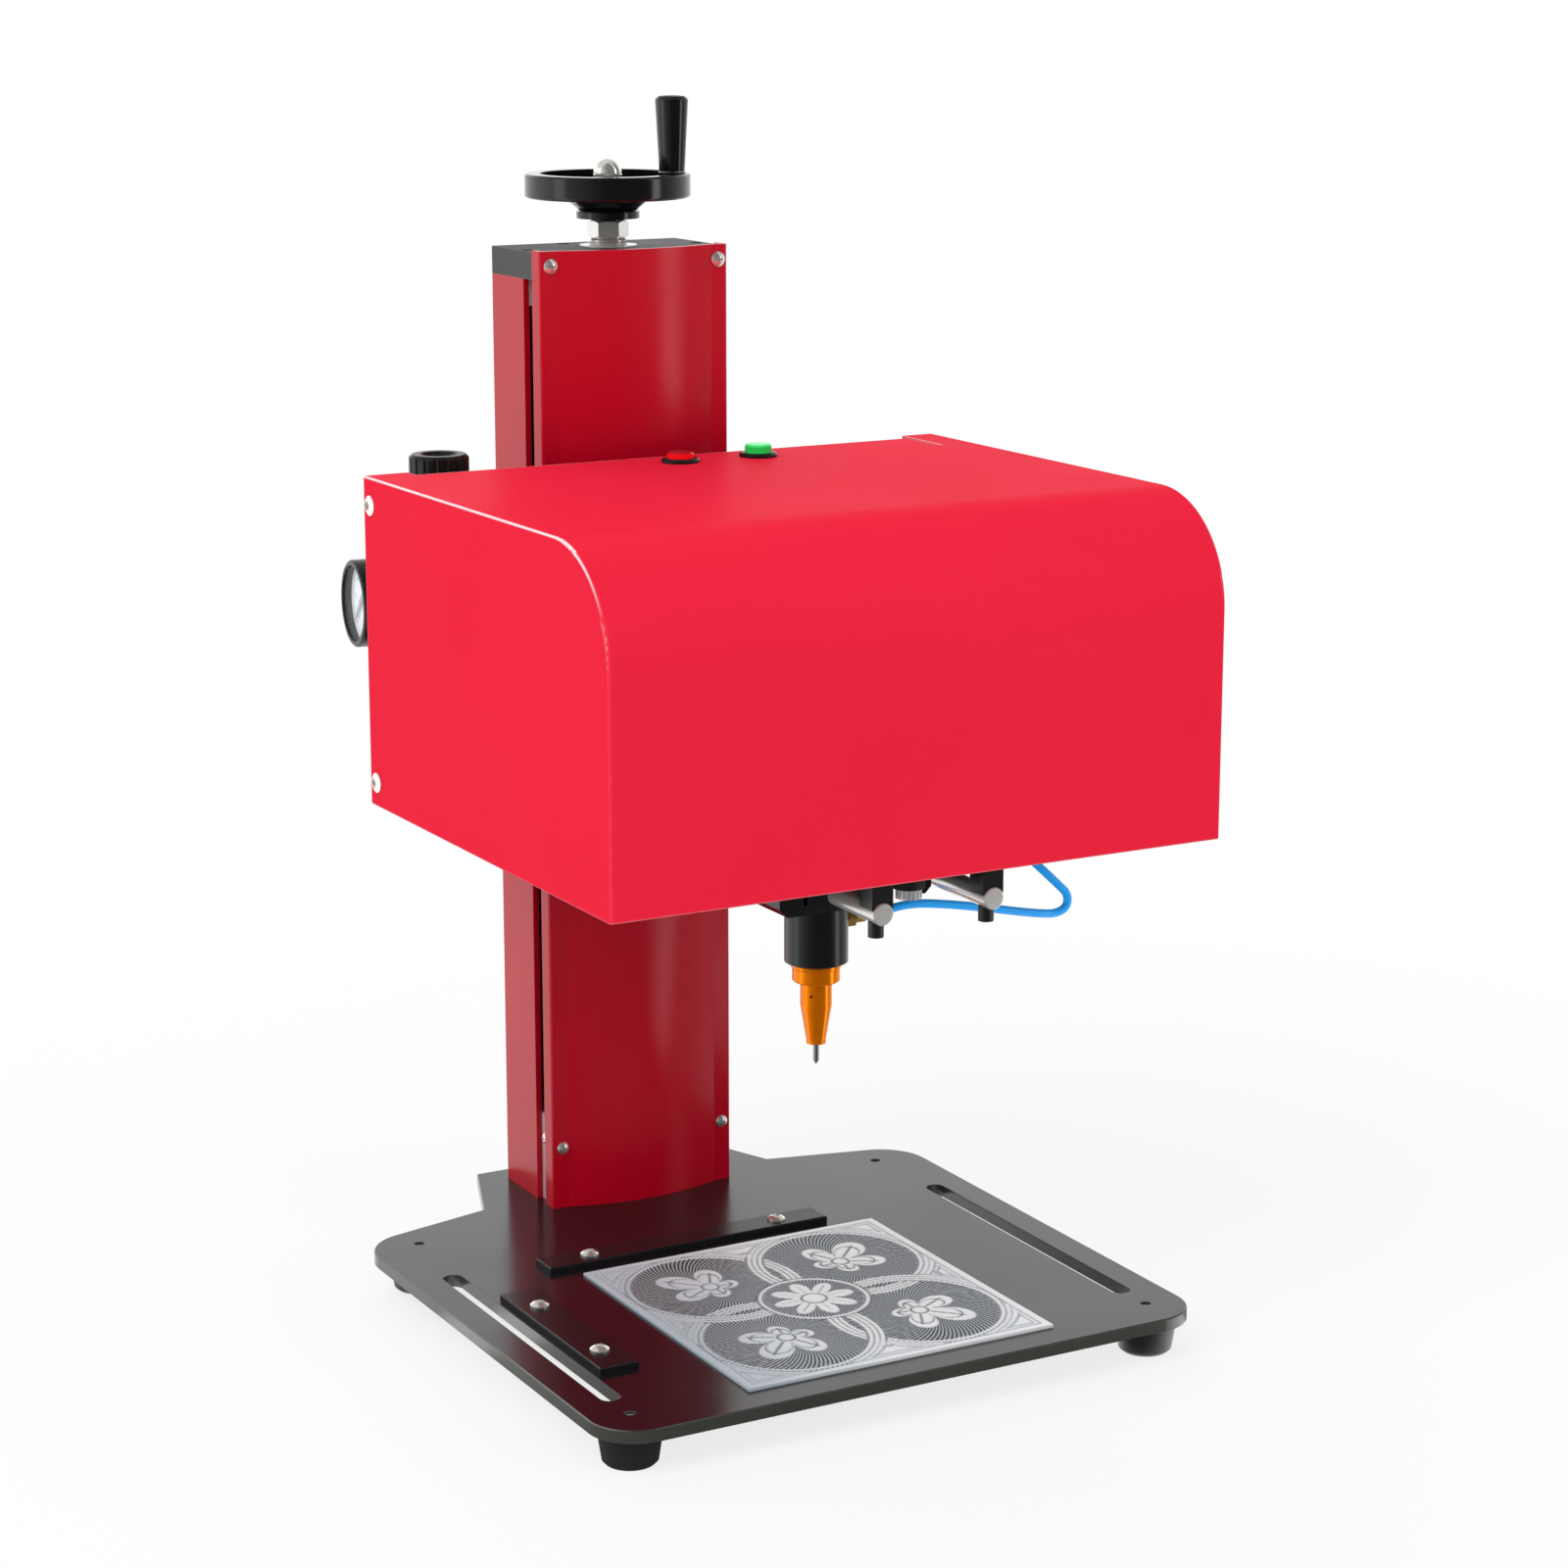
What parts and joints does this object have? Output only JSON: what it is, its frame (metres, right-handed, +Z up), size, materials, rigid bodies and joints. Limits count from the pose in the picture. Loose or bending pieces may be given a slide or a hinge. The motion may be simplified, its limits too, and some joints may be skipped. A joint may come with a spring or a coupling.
{
  "type": "nameplate marking machine",
  "caption": "Bench-top nameplate marking machine: a sheet head with an air-driven marking pen on a cross slide, raised on a column by a handwheel over a flat deck.",
  "frame": {"origin": "on the floor, in the middle of the machine's bounding box seen from above", "axes": "+Z up the column, +X to the machine's right as the user faces it, +Y to its back, so the head's front faces -Y"},
  "size_m": [0.308, 0.342, 0.5661],
  "materials": {
    "deck_black": "semi-gloss",
    "foot_rubber": "matte",
    "steel": "satin",
    "chrome": "polished",
    "column_red": "gloss",
    "head_red": "semi-gloss",
    "cap_grey": "matte",
    "stop_black": "semi-gloss",
    "sample_alloy": "satin",
    "machined_alloy": "satin",
    "bronze": "satin",
    "brass": "satin",
    "wheel_black": "gloss",
    "black_plastic": "satin",
    "anodised_black": "satin",
    "anodised_orange": "satin",
    "lens_red": "gloss",
    "cap_green": "gloss",
    "dial_white": "matte",
    "pointer_grey": "matte",
    "gauge_glass": "polished",
    "tube_blue": "gloss",
    "belt_rubber": "matte",
    "motor_black": "satin",
    "regulator_alloy": "satin",
    "screw_black": "satin"
  },
  "bodies": {
    "base": {"base_plate": "deck_black", "rubber_feet": "foot_rubber", "underside_screws": "steel", "column_body": "column_red", "column_cover": "column_red", "column_cap": "cap_grey", "column_blocks": "machined_alloy", "column_screws": "chrome", "guide_rods": "steel", "screw_bearings": "steel", "stop_screws": "chrome"},
    "rear_stop": {"rear_stop_bar": "stop_black"},
    "side_stop": {"side_stop_bar": "stop_black"},
    "sample": {"sample_plate": "sample_alloy"},
    "lead_screw_and_wheel": {"lead_screw": "steel", "handwheel": "wheel_black", "wheel_fasteners": "chrome"},
    "grip": {"handle_grip": "wheel_black"},
    "head": {"lift_block": "machined_alloy", "lift_bushings": "bronze", "lift_yoke": "anodised_black", "back_plate": "anodised_black", "side_plates": "machined_alloy", "head_cover": "head_red", "head_screws": "chrome", "button_housings": "black_plastic", "regulator_body": "regulator_alloy", "regulator_bracket": "steel", "air_fittings": "brass", "gauge_case": "black_plastic", "gauge_dial": "dial_white", "gauge_lens": "gauge_glass", "x_guide_rods": "steel", "x_motor": "motor_black", "x_belt": "belt_rubber", "solenoid_valve": "black_plastic", "connector_socket": "steel"},
    "red_cap": {"red_button": "lens_red"},
    "green_cap": {"green_button": "cap_green"},
    "knob": {"regulator_knob": "black_plastic"},
    "pointer": {"gauge_pointer": "pointer_grey"},
    "x_drive": {"x_drive_pulley": "machined_alloy"},
    "x_idler": {"x_idler_pulley": "machined_alloy"},
    "cross_carriage": {"cross_plate": "anodised_black", "cross_bushes": "bronze", "rod_clamps": "anodised_black", "rod_clamp_screws": "screw_black", "y_guide_rods": "steel", "y_motor": "motor_black", "y_belt": "belt_rubber"},
    "y_drive": {"y_drive_pulley": "machined_alloy"},
    "y_idler": {"y_idler_pulley": "machined_alloy"},
    "pen_carriage": {"pen_block": "anodised_black", "pen_bushes": "black_plastic", "pen_body": "anodised_black", "pen_nozzle": "anodised_orange", "pen_fittings": "brass", "air_tube": "tube_blue", "needle_spring": "steel"},
    "needle": {"marking_needle": "steel"}
  },
  "joints": [
    {"name": "handwheel_spin", "type": "hinge", "parent": "base", "child": "lead_screw_and_wheel", "pos_m": [0, 0.131, 0.512], "axis": [0, 0, 1], "range_deg": [-8560, 10810]},
    {"name": "head_lift", "type": "slide", "parent": "base", "child": "head", "axis": [0, 0, 1], "range_m": [-0.12, 0.095]},
    {"name": "grip_spin", "type": "hinge", "parent": "lead_screw_and_wheel", "child": "grip", "pos_m": [0.02709, 0.11592, 0.542], "axis": [0, 0, 1], "continuous": true},
    {"name": "rear_stop_set", "type": "slide", "parent": "base", "child": "rear_stop", "axis": [0, 1, 0], "range_m": [-0.0015, 0.0015]},
    {"name": "side_stop_set", "type": "slide", "parent": "base", "child": "side_stop", "axis": [1, 0, 0], "range_m": [-0.0015, 0.0015]},
    {"name": "sample_lift", "type": "slide", "parent": "base", "child": "sample", "axis": [0, 0, 1], "range_m": [0, 0.05]},
    {"name": "red_press", "type": "slide", "parent": "head", "child": "red_cap", "axis": [0, 0, 1], "range_m": [-0.0025, 0], "stiffness_N_per_m": 300, "springref_m": 0.001},
    {"name": "green_press", "type": "slide", "parent": "head", "child": "green_cap", "axis": [0, 0, 1], "range_m": [-0.0025, 0], "stiffness_N_per_m": 300, "springref_m": 0.001},
    {"name": "regulator_turn", "type": "hinge", "parent": "head", "child": "knob", "pos_m": [-0.1037, 0.1027, 0.382], "axis": [0, 0, 1], "range_deg": [-1080, 1080]},
    {"name": "gauge_swing", "type": "hinge", "parent": "head", "child": "pointer", "pos_m": [-0.14294, 0.10724, 0.336], "axis": [0.9934, -0.1149, 0], "range_deg": [0, 270], "stiffness_Nm_per_rad": 0.0001, "springref_deg": -17.19},
    {"name": "cross_slide", "type": "slide", "parent": "head", "child": "cross_carriage", "axis": [1, 0, 0], "range_m": [-0.085, 0.055]},
    {"name": "x_drive_spin", "type": "hinge", "parent": "head", "child": "x_drive", "pos_m": [-0.123, -0.0433, 0.274], "axis": [0, 0, 1], "range_deg": [-820, 530]},
    {"name": "x_idler_spin", "type": "hinge", "parent": "head", "child": "x_idler", "pos_m": [0.123, -0.0433, 0.274], "axis": [0, 0, 1], "range_deg": [-820, 530]},
    {"name": "pen_slide", "type": "slide", "parent": "cross_carriage", "child": "pen_carriage", "axis": [0, 1, 0], "range_m": [-0.02, 0.085]},
    {"name": "y_drive_spin", "type": "hinge", "parent": "cross_carriage", "child": "y_drive", "pos_m": [0.0126, 0.0087, 0.234], "axis": [0, 0, 1], "range_deg": [-195, 820]},
    {"name": "y_idler_spin", "type": "hinge", "parent": "cross_carriage", "child": "y_idler", "pos_m": [0.0126, -0.1333, 0.234], "axis": [0, 0, 1], "range_deg": [-195, 820]},
    {"name": "needle_stroke", "type": "slide", "parent": "pen_carriage", "child": "needle", "axis": [0, 0, 1], "range_m": [-0.003, 0], "stiffness_N_per_m": 500, "springref_m": 0.002, "deforming": ["needle_spring"]}
  ],
  "couplings": [
    {"joint": "handwheel_spin", "follows": "head_lift", "rad_per_m": -1570.8},
    {"joint": "x_drive_spin", "follows": "cross_slide", "rad_per_m": 166.67},
    {"joint": "x_idler_spin", "follows": "cross_slide", "rad_per_m": 166.67},
    {"joint": "y_drive_spin", "follows": "pen_slide", "rad_per_m": 166.67},
    {"joint": "y_idler_spin", "follows": "pen_slide", "rad_per_m": 166.67}
  ]
}
